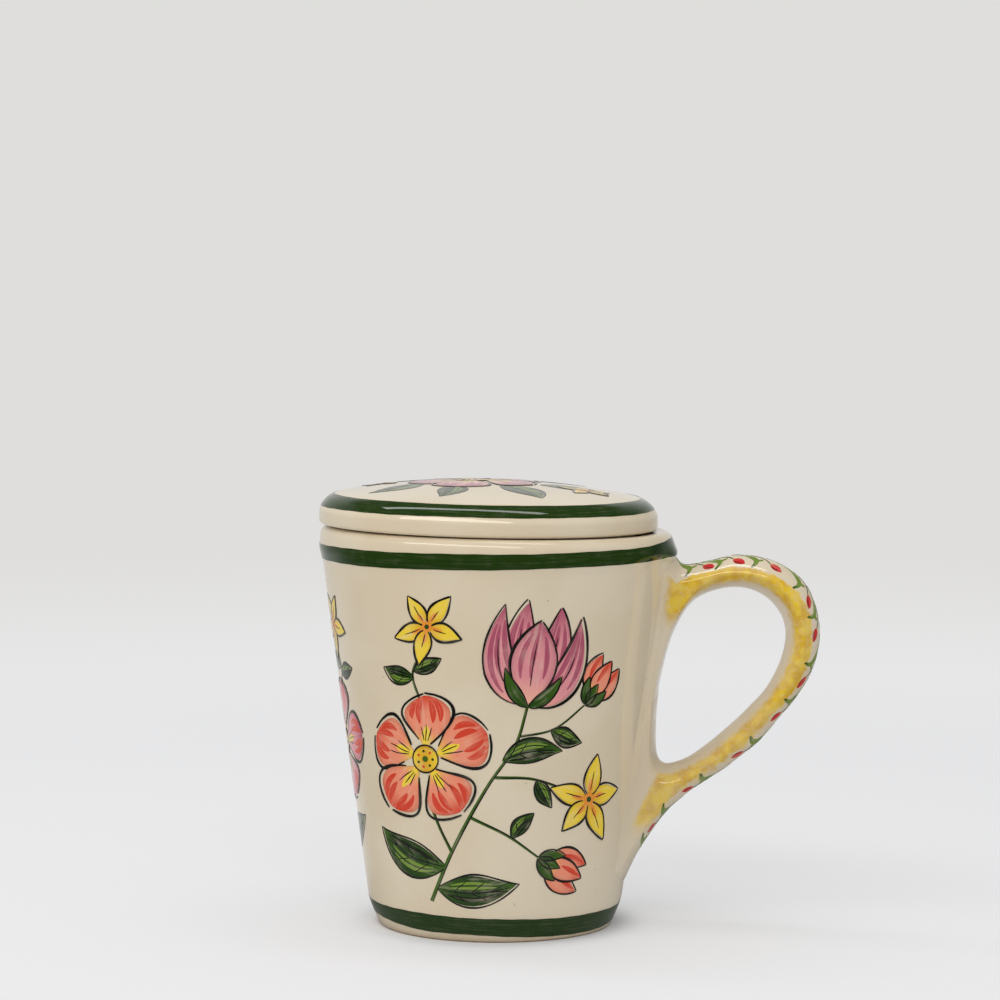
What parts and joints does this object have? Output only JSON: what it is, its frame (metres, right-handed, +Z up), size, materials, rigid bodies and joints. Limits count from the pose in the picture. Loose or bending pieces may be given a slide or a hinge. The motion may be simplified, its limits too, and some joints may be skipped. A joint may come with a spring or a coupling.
{
  "type": "lidded mug",
  "caption": "Tapered glazed pottery mug with an ear handle, a loose domed lid without a knob, and a lift-out strainer under the lid.",
  "frame": {"origin": "centre of the foot, on the mug's axis, at the surface that it stands on", "axes": "+Z up along the mug's axis, +X towards the handle, +Y to the left of the handle seen from above"},
  "size_m": [0.1257, 0.089, 0.1111],
  "materials": {
    "cup_glaze": "glossy cream glaze, hand painted, with green bands",
    "handle_glaze": "glossy cream glaze with sponged yellow sides",
    "infuser_glaze": "glossy plain cream glaze",
    "lid_glaze": "glossy cream glaze, hand painted, with a green band"
  },
  "bodies": {
    "mug": {"mug_body": "cup_glaze", "handle": "handle_glaze"},
    "infuser": {"infuser": "infuser_glaze"},
    "lid": {"lid": "lid_glaze"}
  },
  "joints": [
    {"name": "infuser_lift", "type": "slide", "parent": "mug", "child": "infuser", "axis": [0, 0, 1], "range_m": [0, 0.075]},
    {"name": "lid_lift", "type": "slide", "parent": "infuser", "child": "lid", "axis": [0, 0, 1], "range_m": [0, 0.06]}
  ]
}
